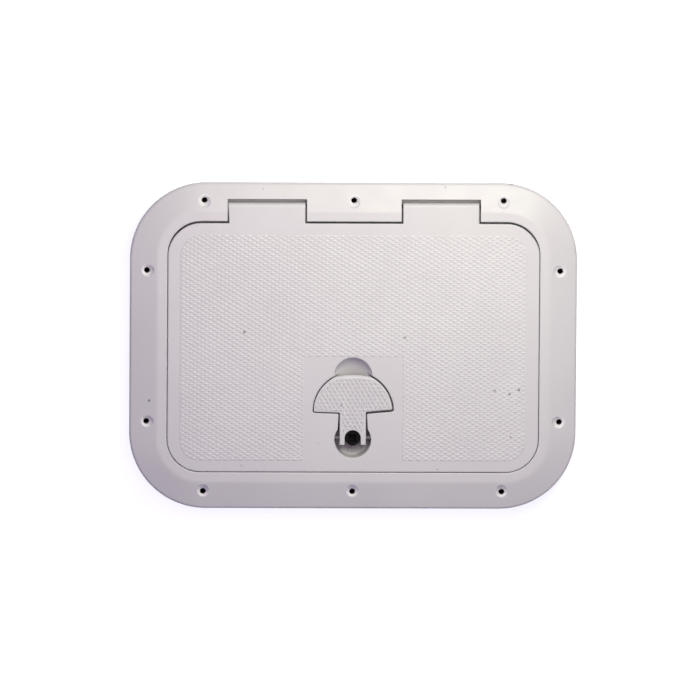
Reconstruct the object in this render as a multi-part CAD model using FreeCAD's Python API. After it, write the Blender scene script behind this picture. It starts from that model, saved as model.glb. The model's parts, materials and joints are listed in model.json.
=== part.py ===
import FreeCAD, Part
import math
import os

# Deck inspection plate: a moulded frame with a hinged lid, a fold-down handle and a turn latch.
# Lengths are millimetres. X runs along the long side, Y towards the hinges, Z out of the deck.
# The origin is the middle of the screw pattern, on the surface of the deck.
# The lid is shut, the handle lies flat and the latch tongue is turned aside.

# Frame outline and flange
frame_length = 375.0
frame_width = 275.0
frame_corner_radius = 64.5
flange_side_width = 31.3
flange_hinge_width = 32.1
flange_free_width = 31.1
flange_height = 10.0
flange_edge_height = 5.0
flange_edge_round = 2.4
flange_strip_width = 8.4
flange_crease_round = 10.0
flange_wall = 3.0
mouth_round = 0.8

# Flange ribs and screw holes
flange_rib_thickness = 2.0
flange_rib_pitch = 31.3
screw_hole_diameter = 4.9
screw_sink_diameter = 9.6
screw_boss_diameter = 13.0
long_edge_screw_inset = 14.7
short_edge_screw_inset = 14.2
corner_screw_spacing = 250.8
side_screw_spacing = 127.4

# Gutter, rim and collar of the frame
gutter_width = 6.8
gutter_wall = 3.0
gutter_floor_depth = 2.0
gutter_floor_thickness = 2.5
rim_thickness = 2.5
rim_height = 3.5
collar_depth = 30.0

# Keeper ledge that the latch tongue turns under
keeper_length = 50.0
keeper_reach = 5.8
keeper_thickness = 3.0
keeper_gusset_height = 7.0
keeper_gusset_thickness = 2.0
keeper_gusset_pitch = 20.0
keeper_gap = 0.3

# Lid
lid_gap = 1.2
lid_corner_radius = 27.0
lid_plate = 3.0
lid_edge_round = 1.0
lid_skirt_thickness = 2.0
lid_skirt_depth = 6.0
lid_rib_thickness = 2.0
lid_rib_depth = 5.0
lid_rib_pitch = 36.0
lid_rib_margin = 2.2
tread_side_border = 9.9
tread_hinge_border = 10.5
tread_free_border = 9.1
tread_corner_radius = 17.0
tread_field_rise = 0.2
tread_pad_width = 84.2
tread_pad_length = 96.9

# Gasket under the lid, on the rim
gasket_width = 4.0
gasket_rim_gap = 0.1
gasket_side_gap = 0.15
gasket_rib_thickness = 1.6
gasket_rib_depth = 2.5

# Hinges
hinge_spacing = 145.8
hinge_tab_width = 64.0
hinge_tab_gap = 1.2
hinge_tab_reach = 18.0
hinge_wall_gap = 1.8
hinge_knuckle_diameter = 8.4
hinge_pin_diameter = 3.0
hinge_pin_grip = 4.0
hinge_ear_thickness = 5.0
hinge_floor_thickness = 1.2
hinge_tab_rib_thickness = 2.0
hinge_tab_rib_depth = 4.0
hinge_tab_edge_round = 1.0
running_clearance = 0.05
holding_clearance = 0.02

# Sunk pocket of the handle
handle_recess_depth = 6.5
handle_recess_gap = 1.4
handle_stem_gap = 1.5
handle_floor_gap = 0.5
recess_tip_round = 2.2
recess_neck_round = 1.2
recess_mouth_round = 0.6
pocket_wall = 2.5
pocket_radius = 15.4
pocket_offset = 1.5
pocket_taper = 0.8
pocket_fillet = 6.0
pocket_depth = 12.0
pocket_shell = 2.0
scoop_radius = 16.3
scoop_depth = 11.0
scoop_offset = 51.9

# Handle
handle_pivot_inset = 27.9
handle_pivot_depth = 3.5
handle_head_radius = 33.2
handle_head_offset = 22.1
handle_shoulder_lift = 0.3
handle_shoulder_angle = 3.5
handle_tip_round = 1.5
handle_front_reach = 53.3
handle_front_radius = 75.0
handle_stem_width = 22.2
handle_slot_width = 13.6
handle_leg_reach = 6.0
handle_edge_round = 1.0
handle_front_round = 2.4
handle_under_round = 0.6
handle_pin_diameter = 3.0
handle_pin_boss_diameter = 6.4
handle_pin_grip = 3.5

# Latch spindle and its seal
spindle_head_diameter = 12.8
spindle_head_depth = 2.0
spindle_head_round = 0.6
spindle_head_gap = 0.1
spindle_diameter = 10.0
spindle_boss_diameter = 18.0
spindle_boss_length = 11.0
spindle_end_gap = 0.2
spindle_square = 7.0
spindle_socket = 6.4
spindle_socket_depth = 6.0
seal_section = 1.5
seal_depth_below_floor = 5.0
seal_squeeze_gap = 0.03

# Latch tongue, washer and screw under the lid
cam_hub_diameter = 16.0
cam_width = 11.0
cam_reach = 17.5
cam_thickness = 3.0
cam_lead_in = 1.0
washer_diameter = 12.0
washer_thickness = 1.0
screw_diameter = 4.0
screw_head_diameter = 7.6
screw_head_height = 2.6
screw_length = 10.0
screw_slot_width = 1.0
screw_slot_depth = 1.2

# How far a cutting shape runs past the face that it opens
overcut = 1.0

# Opening of the frame and the lid that fills it
opening_length = frame_length - 2 * flange_side_width
opening_width = frame_width - flange_hinge_width - flange_free_width
opening_radius = lid_corner_radius + lid_gap
opening_y = (flange_free_width - flange_hinge_width) / 2
lid_length = opening_length - 2 * lid_gap
lid_width = opening_width - 2 * lid_gap
lid_hinge_edge = opening_y + lid_width / 2
lid_free_edge = opening_y - lid_width / 2
plate_underside = flange_height - lid_plate

# Distances inwards from the edge of the opening
rim_outer = gutter_width
rim_inner = gutter_width + rim_thickness
gasket_outer = (rim_outer + rim_inner - gasket_width) / 2
gasket_inner = gasket_outer + gasket_width
gasket_bottom = rim_height + gasket_rim_gap

# Hinge axis and the notches around the tabs
hinge_y = lid_hinge_edge + hinge_tab_reach - hinge_knuckle_diameter / 2
hinge_z = flange_height - hinge_knuckle_diameter / 2
notch_end = lid_hinge_edge + hinge_tab_reach + hinge_wall_gap

# Handle pivot, with the spindle on the same centre
pivot_y = lid_free_edge + handle_pivot_inset
pivot_z = flange_height - handle_pivot_depth
head_y = pivot_y + handle_head_offset
pocket_y = pivot_y - pocket_offset
scoop_y = pivot_y + scoop_offset
recess_floor = flange_height - handle_recess_depth
handle_bottom = recess_floor + handle_floor_gap
pocket_floor = flange_height - pocket_depth
spindle_top = flange_height - spindle_head_depth
spindle_shoulder = pocket_floor + spindle_head_gap
boss_bottom = pocket_floor - spindle_boss_length

# Latch tongue and the keeper above it
cam_top = boss_bottom - spindle_end_gap
cam_bottom = cam_top - cam_thickness
keeper_bottom = cam_top + keeper_gap
washer_bottom = cam_bottom - washer_thickness


def vector(x, y, z):
    return FreeCAD.Vector(x, y, z)


def block(x_range, y_range, z_range):
    """A box between two values along each axis."""
    size = [limits[1] - limits[0] for limits in (x_range, y_range, z_range)]
    return Part.makeBox(size[0], size[1], size[2], vector(x_range[0], y_range[0], z_range[0]))


def post(radius, y, bottom, top, x=0.0):
    """An upright cylinder."""
    return Part.makeCylinder(radius, top - bottom, vector(x, y, bottom))


def rod(radius, x_start, x_end, y, z):
    """A cylinder along X."""
    return Part.makeCylinder(radius, x_end - x_start, vector(x_start, y, z), vector(1, 0, 0))


def join(shapes):
    """One solid from shapes that overlap or touch."""
    first = shapes[0]
    return first.fuse(shapes[1:]).removeSplitter()


def outline(length, width, radius, y, z):
    """A rectangle with round corners, as a closed wire at one height."""
    reach_x = length / 2 - radius
    reach_y = width / 2 - radius
    centres = [(reach_x, reach_y), (-reach_x, reach_y), (-reach_x, -reach_y), (reach_x, -reach_y)]
    arcs = []
    for quarter, centre in enumerate(centres):
        circle = Part.Circle(vector(centre[0], y + centre[1], z), vector(0, 0, 1), radius)
        arcs.append(circle.toShape(quarter * math.pi / 2, (quarter + 1) * math.pi / 2))
    edges = []
    for quarter, arc in enumerate(arcs):
        following = arcs[(quarter + 1) % 4]
        edges.append(arc)
        edges.append(Part.makeLine(arc.Vertexes[-1].Point, following.Vertexes[0].Point))
    return Part.Wire(edges)


def opening_outline(inset, z):
    """The outline of the opening, moved inwards by a distance, or outwards if it is negative."""
    length = opening_length - 2 * inset
    width = opening_width - 2 * inset
    return outline(length, width, opening_radius - inset, opening_y, z)


def frame_outline(inset, z):
    """The outer outline of the frame, moved inwards by a distance."""
    length = frame_length - 2 * inset
    width = frame_width - 2 * inset
    return outline(length, width, frame_corner_radius - inset, 0.0, z)


def opening_prism(inset, bottom, top):
    return Part.Face(opening_outline(inset, bottom)).extrude(vector(0, 0, top - bottom))


def opening_ring(outer_inset, inner_inset, bottom, top):
    return opening_prism(outer_inset, bottom, top).cut(opening_prism(inner_inset, bottom, top))


def level_edges(shape, z):
    """The edges of a shape that lie at one height."""
    found = []
    for edge in shape.Edges:
        box = edge.BoundBox
        if abs(box.ZMin - z) < 1e-4 and abs(box.ZMax - z) < 1e-4:
            found.append(edge)
    return found


def flange_top(x, y):
    """Height of the sloping flange over a point beside one of its straight sides."""
    strip_x = opening_length / 2 + flange_strip_width
    strip_y = opening_width / 2 + flange_strip_width
    past_x = (abs(x) - strip_x) / (frame_length / 2 - strip_x)
    past_y = (abs(y - opening_y) - strip_y) / (frame_width / 2 - math.copysign(opening_y, y) - strip_y)
    drop = max(past_x, past_y, 0.0) * (flange_height - flange_edge_height)
    return flange_height - drop


def screw_places():
    """Centres of the ten mounting holes."""
    long_y = frame_width / 2 - long_edge_screw_inset
    short_x = frame_length / 2 - short_edge_screw_inset
    places = []
    for y in (long_y, -long_y):
        for x in (-corner_screw_spacing / 2, 0.0, corner_screw_spacing / 2):
            places.append((x, y))
    for x in (-short_x, short_x):
        for y in (-side_screw_spacing / 2, side_screw_spacing / 2):
            places.append((x, y))
    return places


def hinge_sides():
    return (-1, 1)


def span(side, near, far):
    """A range along X on one side of the middle, from two distances."""
    return (near, far) if side > 0 else (-far, -near)


def flange_solid():
    """The flange without its hollow underside: a flat strip round the lid, then a slope."""
    strip = opening_outline(-flange_strip_width, flange_height)
    base = frame_outline(0.0, 0.0)
    brow = frame_outline(0.0, flange_edge_height)
    solid = Part.makeLoft([base, brow, strip], True, True)
    solid = solid.makeFillet(flange_edge_round, level_edges(solid, flange_edge_height))
    return solid.makeFillet(flange_crease_round, level_edges(solid, flange_height))


def flange_hollow():
    """The space under the flange, between its outer wall and the wall of the gutter."""
    slope_run = flange_side_width - flange_strip_width
    slope_rise = flange_height - flange_edge_height
    wall_top = flange_edge_height - flange_wall + flange_wall * slope_rise / slope_run
    base = frame_outline(flange_wall, -overcut)
    brow = frame_outline(flange_wall, wall_top)
    strip = opening_outline(-flange_strip_width, flange_height - flange_wall)
    space = Part.makeLoft([base, brow, strip], True, True)
    return space.cut(opening_prism(-gutter_wall, -2 * overcut, flange_height))


def flange_ribs():
    """Ribs across the hollow of the flange: square to its sides, and fanned at its corners."""
    ribs = []
    half = flange_rib_thickness / 2
    long_count = int(corner_screw_spacing / 2 / flange_rib_pitch)
    for step in range(-long_count, long_count + 1):
        x = step * corner_screw_spacing / 2 / long_count
        ribs.append(block((x - half, x + half), (-frame_width, frame_width), (0, flange_height)))
    short_count = int(side_screw_spacing / 2 / flange_rib_pitch)
    for step in range(-short_count, short_count + 1):
        y = step * side_screw_spacing / 2 / short_count
        ribs.append(block((-frame_length, frame_length), (y - half, y + half), (0, flange_height)))
    corner_x = frame_length / 2 - frame_corner_radius
    corner_y = frame_width / 2 - frame_corner_radius
    for side_x in (-1, 1):
        for side_y in (-1, 1):
            for angle in (22.5, 45.0, 67.5):
                rib = block((0, 2 * frame_corner_radius), (-half, half), (0, flange_height))
                direction = math.degrees(math.atan2(side_y * math.sin(math.radians(angle)),
                                                    side_x * math.cos(math.radians(angle))))
                rib.rotate(vector(0, 0, 0), vector(0, 0, 1), direction)
                rib.translate(vector(side_x * corner_x, side_y * corner_y, 0))
                ribs.append(rib)
    return ribs


def hinge_ear_range(side):
    """Range along X of the block that carries one hinge."""
    reach = hinge_tab_width / 2 + hinge_tab_gap + hinge_ear_thickness
    return span(side, hinge_spacing / 2 - reach, hinge_spacing / 2 + reach)


def hinge_block(side):
    """Solid material under the flange round one hinge notch."""
    y_range = (opening_y + opening_width / 2, notch_end + flange_wall)
    return block(hinge_ear_range(side), y_range, (0, flange_height))


def hinge_notch(side):
    """The notch in the frame that one tab of the lid swings in."""
    reach = hinge_tab_width / 2 + hinge_tab_gap
    x_range = span(side, hinge_spacing / 2 - reach, hinge_spacing / 2 + reach)
    y_range = (opening_y + opening_width / 2 - gutter_width / 2, notch_end)
    return block(x_range, y_range, (hinge_floor_thickness, flange_height + overcut))


def keeper_ledge():
    """The ledge inside the collar, at the middle of the free side, with gussets over it."""
    wall_y = opening_y - opening_width / 2 + rim_inner
    half = keeper_length / 2
    y_range = (wall_y - rim_thickness / 2, wall_y + keeper_reach)
    ledge = block((-half, half), y_range, (keeper_bottom, keeper_bottom + keeper_thickness))
    pieces = [ledge]
    top = keeper_bottom + keeper_thickness
    for step in (-1, 0, 1):
        x = step * keeper_gusset_pitch - keeper_gusset_thickness / 2
        corners = [(wall_y - rim_thickness / 2, top), (wall_y + keeper_reach, top),
                   (wall_y, top + keeper_gusset_height),
                   (wall_y - rim_thickness / 2, top + keeper_gusset_height)]
        points = [vector(x, y, z) for y, z in corners]
        web = Part.Face(Part.makePolygon(points + points[:1]))
        pieces.append(web.extrude(vector(keeper_gusset_thickness, 0, 0)))
    return join(pieces)


def screw_hole(x, y):
    """A countersunk hole, square to the deck."""
    surface = flange_top(x, y)
    radius = screw_hole_diameter / 2
    sink_depth = (screw_sink_diameter - screw_hole_diameter) / 2
    drill = post(radius, y, -overcut, flange_height + overcut, x)
    rise = flange_height + overcut - (surface - sink_depth)
    cone = Part.makeCone(radius, radius + rise, rise, vector(x, y, surface - sink_depth))
    return drill.fuse(cone)


def make_frame():
    """Flange, gutter, rim and collar in one moulding."""
    kept = flange_ribs()
    for side in hinge_sides():
        kept.append(hinge_block(side))
    for x, y in screw_places():
        kept.append(post(screw_boss_diameter / 2, y, 0, flange_height, x))
    hollow = flange_hollow().cut(kept)
    frame = flange_solid().cut(hollow)
    gutter_top = -gutter_floor_depth
    gutter_bottom = gutter_top - gutter_floor_thickness
    trough = opening_prism(-gutter_wall, gutter_bottom, overcut)
    collar = opening_prism(rim_outer, -collar_depth, overcut)
    frame = join([frame, trough, collar])
    mouth = opening_prism(0.0, rim_height, flange_height + overcut)
    channel = opening_ring(0.0, rim_outer, gutter_top, rim_height)
    clear = opening_prism(rim_inner, -collar_depth - overcut, rim_height + overcut)
    frame = frame.cut([mouth, channel, clear] + [hinge_notch(side) for side in hinge_sides()])
    frame = frame.makeFillet(mouth_round, mouth_edges(frame))
    holes = [screw_hole(x, y) for x, y in screw_places()]
    for side in hinge_sides():
        ear = hinge_ear_range(side)
        holes.append(rod(hinge_pin_diameter / 2 + holding_clearance,
                         ear[0] - overcut, ear[1] + overcut, hinge_y, hinge_z))
    return frame.cut(holes).fuse(keeper_ledge()).removeSplitter()


def mouth_edges(frame):
    """The top edges of the opening on the flat strip, between the notches."""
    edges = []
    reach_x = opening_length / 2 + flange_strip_width / 2
    reach_y = opening_width / 2 + flange_strip_width / 2
    for edge in level_edges(frame, flange_height):
        box = edge.BoundBox
        inside_x = max(abs(box.XMin), abs(box.XMax)) < reach_x
        inside_y = max(abs(box.YMin - opening_y), abs(box.YMax - opening_y)) < reach_y
        if inside_x and inside_y:
            edges.append(edge)
    return edges


def make_hinge_pin(side):
    reach = hinge_tab_width / 2 + hinge_tab_gap + hinge_pin_grip
    x_range = span(side, hinge_spacing / 2 - reach, hinge_spacing / 2 + reach)
    return rod(hinge_pin_diameter / 2, x_range[0], x_range[1], hinge_y, hinge_z)


def lid_shell():
    """The top plate of the lid with its skirt and the two ribs that hold the gasket."""
    plate = opening_prism(lid_gap, flange_height - lid_skirt_depth, flange_height)
    plate = plate.makeFillet(lid_edge_round, level_edges(plate, flange_height))
    inside = opening_prism(lid_gap + lid_skirt_thickness, flange_height - lid_skirt_depth - overcut,
                           plate_underside)
    shell = plate.cut(inside)
    outer_rib = gasket_outer - gasket_side_gap
    inner_rib = gasket_inner + gasket_side_gap
    rib_bottom = plate_underside - gasket_rib_depth
    ribs = [opening_ring(outer_rib - gasket_rib_thickness, outer_rib, rib_bottom, plate_underside),
            opening_ring(inner_rib, inner_rib + gasket_rib_thickness, rib_bottom, plate_underside)]
    return join([shell] + ribs)


def lid_ribs():
    """A grid of ribs under the lid, inside the ribs of the gasket."""
    field_inset = gasket_inner + gasket_side_gap + gasket_rib_thickness / 2
    bottom = plate_underside - lid_rib_depth
    field = opening_prism(max(field_inset, rim_inner + lid_rib_margin), bottom, plate_underside)
    half = lid_rib_thickness / 2
    bars = []
    across = int((lid_length / 2 - 2 * lid_rib_margin) / lid_rib_pitch)
    for step in range(-across, across + 1):
        x = step * lid_rib_pitch
        bars.append(block((x - half, x + half), (-frame_width, frame_width), (bottom, plate_underside)))
    along = int((lid_width / 2 - 2 * lid_rib_margin) / lid_rib_pitch)
    for step in range(-along, along + 1):
        y = opening_y + step * lid_rib_pitch
        bars.append(block((-frame_length, frame_length), (y - half, y + half), (bottom, plate_underside)))
    return field.common(join(bars))


def hinge_tab(side):
    """A tab of the lid with its knuckle, and ribs that stiffen it from below."""
    half = hinge_tab_width / 2
    x_range = span(side, hinge_spacing / 2 - half, hinge_spacing / 2 + half)
    root_y = lid_hinge_edge - lid_skirt_thickness
    plate = block(x_range, (root_y - lid_edge_round, hinge_y), (plate_underside, flange_height))
    knuckle = rod(hinge_knuckle_diameter / 2, x_range[0], x_range[1], hinge_y, hinge_z)
    tab = join([plate, knuckle])
    tab = tab.makeFillet(hinge_tab_edge_round, tab_side_edges(tab, x_range))
    pieces = [tab]
    pitch = (hinge_tab_width - hinge_tab_rib_thickness) / 3
    for step in range(4):
        x = x_range[0] + step * pitch
        pieces.append(block((x, x + hinge_tab_rib_thickness), (root_y, hinge_y),
                            (plate_underside - hinge_tab_rib_depth, plate_underside)))
    return join(pieces)


def tab_side_edges(tab, x_range):
    """The edges of a tab's sides that run along its top and round its knuckle."""
    edges = []
    for edge in tab.Edges:
        box = edge.BoundBox
        at_side = box.XLength < 1e-4 and min(abs(box.XMin - x) for x in x_range) < 1e-4
        if at_side and box.YLength > 1e-3 and box.ZMax > flange_height - 1e-4:
            edges.append(edge)
    return edges


def tread_field():
    """The low raised field that carries the tread, open round the handle."""
    length = lid_length - 2 * tread_side_border
    width = lid_width - tread_hinge_border - tread_free_border
    middle = opening_y + (tread_free_border - tread_hinge_border) / 2
    base = outline(length, width, tread_corner_radius, middle, flange_height - overcut)
    field = Part.Face(base).extrude(vector(0, 0, overcut + tread_field_rise))
    half = tread_pad_width / 2
    pad = block((-half, half), (lid_free_edge - overcut, lid_free_edge + tread_pad_length),
                (flange_height - 2 * overcut, flange_height + 2 * overcut))
    return field.cut(pad)


def sphere_radius():
    """Radius of the ball that makes a dish of the scoop's radius and depth."""
    return (scoop_radius ** 2 + scoop_depth ** 2) / (2 * scoop_depth)


def scoop_ball(extra):
    """The ball of the finger scoop, or of its outside."""
    radius = sphere_radius()
    centre = vector(0, scoop_y, flange_height - scoop_depth + radius)
    return Part.makeSphere(radius + extra, centre)


def shoulder_points(margin, stem_margin):
    """Where a shoulder of the handle meets its stem and its round side, grown by margins."""
    half = handle_stem_width / 2 + stem_margin
    radius = handle_head_radius + margin
    slope = math.tan(math.radians(handle_shoulder_angle))
    start = handle_shoulder_lift - margin - slope * handle_stem_width / 2
    square = radius ** 2 - start ** 2 + (slope * radius) ** 2
    tip_x = (math.sqrt(square) - start * slope) / (1 + slope ** 2)
    neck = (half, head_y + start + slope * half)
    tip = (tip_x, head_y + start + slope * tip_x)
    return neck, tip


def mushroom(margin, stem_margin, stem_end, bottom, top):
    """The handle's half-disc head and stem as a prism, grown by margins."""
    neck, tip = shoulder_points(margin, stem_margin)
    corners = [tip, neck, (neck[0], stem_end), (-neck[0], stem_end), (-neck[0], neck[1]), (-tip[0], tip[1])]
    points = [vector(x, y, bottom) for x, y in corners]
    crown = vector(0, head_y + handle_head_radius + margin, bottom)
    edges = [Part.makeLine(start, end) for start, end in zip(points, points[1:])]
    edges.append(Part.Arc(points[-1], crown, points[0]).toShape())
    return Part.Face(Part.Wire(edges)).extrude(vector(0, 0, top - bottom))


def upright_edges(shape, place):
    """The upright edges of a shape over a place and over its mirror image."""
    found = []
    for edge in shape.Edges:
        box = edge.BoundBox
        upright = box.XLength < 1e-4 and box.YLength < 1e-4
        if upright and math.hypot(abs(box.XMin) - place[0], box.YMin - place[1]) < 1e-3:
            found.append(edge)
    return found


def pocket_profile(extra, top):
    """Half section of the round pocket: a tapered wall, a round fillet and a flat floor."""
    floor = pocket_floor - extra
    wall_top = pocket_radius + extra
    wall_foot = pocket_radius - pocket_taper + extra
    fillet = pocket_fillet + extra
    centre_r = wall_foot - fillet
    centre_z = floor + fillet
    slant = (wall_top - wall_foot) / (flange_height - centre_z)
    over = wall_foot + slant * (top - centre_z)
    diagonal = fillet / math.sqrt(2)
    points = [vector(0, pocket_y, floor), vector(centre_r, pocket_y, floor),
              vector(wall_foot, pocket_y, centre_z), vector(over, pocket_y, top),
              vector(0, pocket_y, top)]
    bend = vector(centre_r + diagonal, pocket_y, centre_z - diagonal)
    edges = [Part.makeLine(points[0], points[1]),
             Part.Arc(points[1], bend, points[2]).toShape(),
             Part.makeLine(points[2], points[3]),
             Part.makeLine(points[3], points[4]),
             Part.makeLine(points[4], points[0])]
    return Part.Face(Part.Wire(edges))


def pocket_bowl(extra, top):
    axis = vector(0, pocket_y, 0)
    return pocket_profile(extra, top).revolve(axis, vector(0, 0, 1), 360)


def handle_housing():
    """What the sunk pocket adds under the lid."""
    top = plate_underside
    head = mushroom(handle_recess_gap + pocket_wall, handle_stem_gap + pocket_wall, pocket_y,
                    recess_floor - pocket_wall, top)
    ball = scoop_ball(pocket_wall)
    low = block((-frame_length, frame_length), (-frame_width, frame_width), (-collar_depth, top))
    boss = post(spindle_boss_diameter / 2, pivot_y, boss_bottom, pocket_floor)
    pieces = [head, ball.common(low), pocket_bowl(pocket_shell, top), boss]
    for side in (-1, 1):
        ear = span(side, pocket_radius - pocket_taper, pocket_radius + handle_pin_grip + pocket_shell)
        pieces.append(rod(handle_pin_boss_diameter / 2, ear[0], ear[1], pivot_y, pivot_z))
    return join(pieces)


def handle_recess():
    """What is cut from the top of the lid for the handle, a finger and the spindle."""
    top = flange_height + overcut
    head = mushroom(handle_recess_gap, handle_stem_gap, pocket_y, recess_floor, top)
    neck, tip = shoulder_points(handle_recess_gap, handle_stem_gap)
    head = head.makeFillet(recess_tip_round, upright_edges(head, tip))
    head = head.makeFillet(recess_neck_round, upright_edges(head, neck))
    bore = post(spindle_diameter / 2 + running_clearance, pivot_y, boss_bottom - overcut, pocket_floor)
    return join([head, scoop_ball(0.0), pocket_bowl(0.0, top), bore])


def recess_mouth_edges(lid):
    """The edges round the sunk pocket at the top of the lid."""
    reach = handle_head_radius + 2 * handle_recess_gap
    edges = []
    for edge in level_edges(lid, flange_height):
        box = edge.BoundBox
        inside_x = max(abs(box.XMin), abs(box.XMax)) < reach
        past_pocket = box.YMin > pocket_y - pocket_radius - overcut
        short_of_crown = box.YMax < scoop_y + scoop_radius + overcut
        if inside_x and past_pocket and short_of_crown:
            edges.append(edge)
    return edges


def make_lid():
    """The moulded lid with its tabs, ribs and the sunk pocket of the handle."""
    pieces = [lid_shell(), lid_ribs(), tread_field(), handle_housing()]
    for side in hinge_sides():
        pieces.append(hinge_tab(side))
    lid = join(pieces).cut(handle_recess())
    lid = lid.makeFillet(recess_mouth_round, recess_mouth_edges(lid))
    bores = []
    for side in hinge_sides():
        half = hinge_tab_width / 2 + overcut
        x_range = span(side, hinge_spacing / 2 - half, hinge_spacing / 2 + half)
        bores.append(rod(hinge_pin_diameter / 2 + running_clearance,
                         x_range[0], x_range[1], hinge_y, hinge_z))
        pin = handle_pin_range(side)
        bores.append(rod(handle_pin_diameter / 2 + holding_clearance, pin[0], pin[1], pivot_y, pivot_z))
    channel = opening_ring(gasket_outer - gasket_side_gap, gasket_inner + gasket_side_gap,
                           gasket_bottom - overcut, plate_underside)
    return lid.cut(bores + [channel])


def make_gasket():
    """A rubber ring in the lid, lying on the rim."""
    return opening_ring(gasket_outer, gasket_inner, gasket_bottom, plate_underside)


def handle_pin_range(side):
    """Range along X of one handle pin, from inside the fork to inside the pocket wall."""
    near = handle_slot_width / 2 + running_clearance
    return span(side, near, pocket_radius + handle_pin_grip)


def make_handle_pin(side):
    pin = handle_pin_range(side)
    return rod(handle_pin_diameter / 2, pin[0], pin[1], pivot_y, pivot_z)


def make_handle():
    """A half-disc head on a stem, forked round the spindle."""
    bottom = handle_bottom
    top = flange_height
    half = handle_stem_width / 2
    plate = mushroom(0.0, 0.0, pivot_y - handle_leg_reach, bottom, top)
    tip = shoulder_points(0.0, 0.0)[1]
    plate = plate.makeFillet(handle_tip_round, upright_edges(plate, tip))
    front_y = pivot_y + handle_front_reach
    handle = plate.common(post(handle_front_radius, front_y - handle_front_radius, bottom, top))
    front_edges = []
    for edge in level_edges(handle, top):
        if edge.BoundBox.YMax > front_y - handle_under_round / 2:
            front_edges.append(edge)
    handle = handle.makeFillet(handle_front_round, front_edges)
    handle = handle.makeFillet(handle_edge_round, level_edges(handle, top))
    handle = handle.makeFillet(handle_under_round, level_edges(handle, bottom))
    slot_half = handle_slot_width / 2
    slot = block((-slot_half, slot_half), (pivot_y - 2 * handle_leg_reach, pivot_y),
                 (bottom - overcut, top + overcut))
    root = post(slot_half, pivot_y, bottom - overcut, top + overcut)
    bore = rod(handle_pin_diameter / 2 + running_clearance, -half - overcut, half + overcut,
               pivot_y, pivot_z)
    return handle.cut([slot, root, bore])


def make_latch_spindle():
    """A round spindle with a square socket on top and a square end for the tongue."""
    head = post(spindle_head_diameter / 2, pivot_y, spindle_shoulder, spindle_top)
    head = head.makeFillet(spindle_head_round, level_edges(head, spindle_top))
    body = post(spindle_diameter / 2, pivot_y, cam_top, spindle_shoulder)
    half = spindle_square / 2
    end = block((-half, half), (pivot_y - half, pivot_y + half), (cam_bottom + spindle_end_gap, cam_top))
    spindle = join([head, body, end])
    reach = spindle_socket / 2
    socket = block((-reach, reach), (pivot_y - reach, pivot_y + reach),
                   (spindle_top - spindle_socket_depth, spindle_top + overcut))
    groove_z = pocket_floor - seal_depth_below_floor
    groove_half = seal_section / 2 + running_clearance
    groove = post(spindle_diameter, pivot_y, groove_z - groove_half, groove_z + groove_half)
    core = post(seal_core_radius(), pivot_y, groove_z - groove_half, groove_z + groove_half)
    thread = post(screw_diameter / 2 + holding_clearance, pivot_y, cam_bottom - overcut,
                  washer_bottom + screw_length + overcut)
    return spindle.cut([socket, groove.cut(core), thread])


def seal_core_radius():
    """Radius of the spindle inside the seal's groove."""
    return spindle_diameter / 2 + running_clearance - seal_section - 2 * seal_squeeze_gap


def make_spindle_seal():
    """A rubber ring in the groove of the spindle."""
    groove_z = pocket_floor - seal_depth_below_floor
    centre_radius = seal_core_radius() + seal_squeeze_gap + seal_section / 2
    return Part.makeTorus(centre_radius, seal_section / 2, vector(0, pivot_y, groove_z))


def make_latch_cam():
    """A flat tongue on the square of the spindle, turned aside."""
    hub = post(cam_hub_diameter / 2, pivot_y, cam_bottom, cam_top)
    half = cam_width / 2
    arm = block((0, cam_reach - half), (pivot_y - half, pivot_y + half), (cam_bottom, cam_top))
    tip = post(half, pivot_y, cam_bottom, cam_top, cam_reach - half)
    cam = join([hub, arm, tip])
    cam = cam.makeChamfer(cam_lead_in, tongue_edges(cam))
    reach = spindle_square / 2 + running_clearance
    hole = block((-reach, reach), (pivot_y - reach, pivot_y + reach),
                 (cam_bottom - overcut, cam_top + overcut))
    return cam.cut(hole)


def tongue_edges(cam):
    """The upper edges of the tongue, outside the hub."""
    edges = []
    for edge in level_edges(cam, cam_top):
        if edge.BoundBox.XMin > cam_hub_diameter / 4:
            edges.append(edge)
    return edges


def make_cam_washer():
    washer = post(washer_diameter / 2, pivot_y, washer_bottom, cam_bottom)
    return washer.cut(post(screw_diameter / 2 + 4 * running_clearance, pivot_y,
                           washer_bottom - overcut, cam_bottom + overcut))


def make_cam_screw():
    """A pan-head screw that holds the washer and the tongue on the spindle."""
    head_bottom = washer_bottom - screw_head_height
    head = post(screw_head_diameter / 2, pivot_y, head_bottom, washer_bottom)
    head = head.makeFillet(screw_head_height / 2, level_edges(head, head_bottom))
    shank = post(screw_diameter / 2, pivot_y, washer_bottom, washer_bottom + screw_length)
    half = screw_slot_width / 2
    reach = screw_head_diameter / 4
    level = (head_bottom - overcut, head_bottom + screw_slot_depth)
    slots = [block((-reach, reach), (pivot_y - half, pivot_y + half), level),
             block((-half, half), (pivot_y - reach, pivot_y + reach), level)]
    return join([head, shank]).cut(slots)


def write(name, shape):
    shape.exportStep("parts/" + name + ".step")
    box = shape.BoundBox
    print(name, "solids", len(shape.Solids), "valid", shape.isValid(), "volume", round(shape.Volume),
          "Z", round(box.ZMin, 2), round(box.ZMax, 2))


def main():
    os.makedirs("parts", exist_ok=True)
    write("frame", make_frame())
    write("hinge_pin_left", make_hinge_pin(-1))
    write("hinge_pin_right", make_hinge_pin(1))
    write("lid", make_lid())
    write("gasket", make_gasket())
    write("handle", make_handle())
    write("handle_pin_left", make_handle_pin(-1))
    write("handle_pin_right", make_handle_pin(1))
    write("latch_spindle", make_latch_spindle())
    write("spindle_seal", make_spindle_seal())
    write("latch_cam", make_latch_cam())
    write("cam_washer", make_cam_washer())
    write("cam_screw", make_cam_screw())


main()
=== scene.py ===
import json
import math

import bmesh
import bpy
from mathutils import Matrix, Vector


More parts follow.
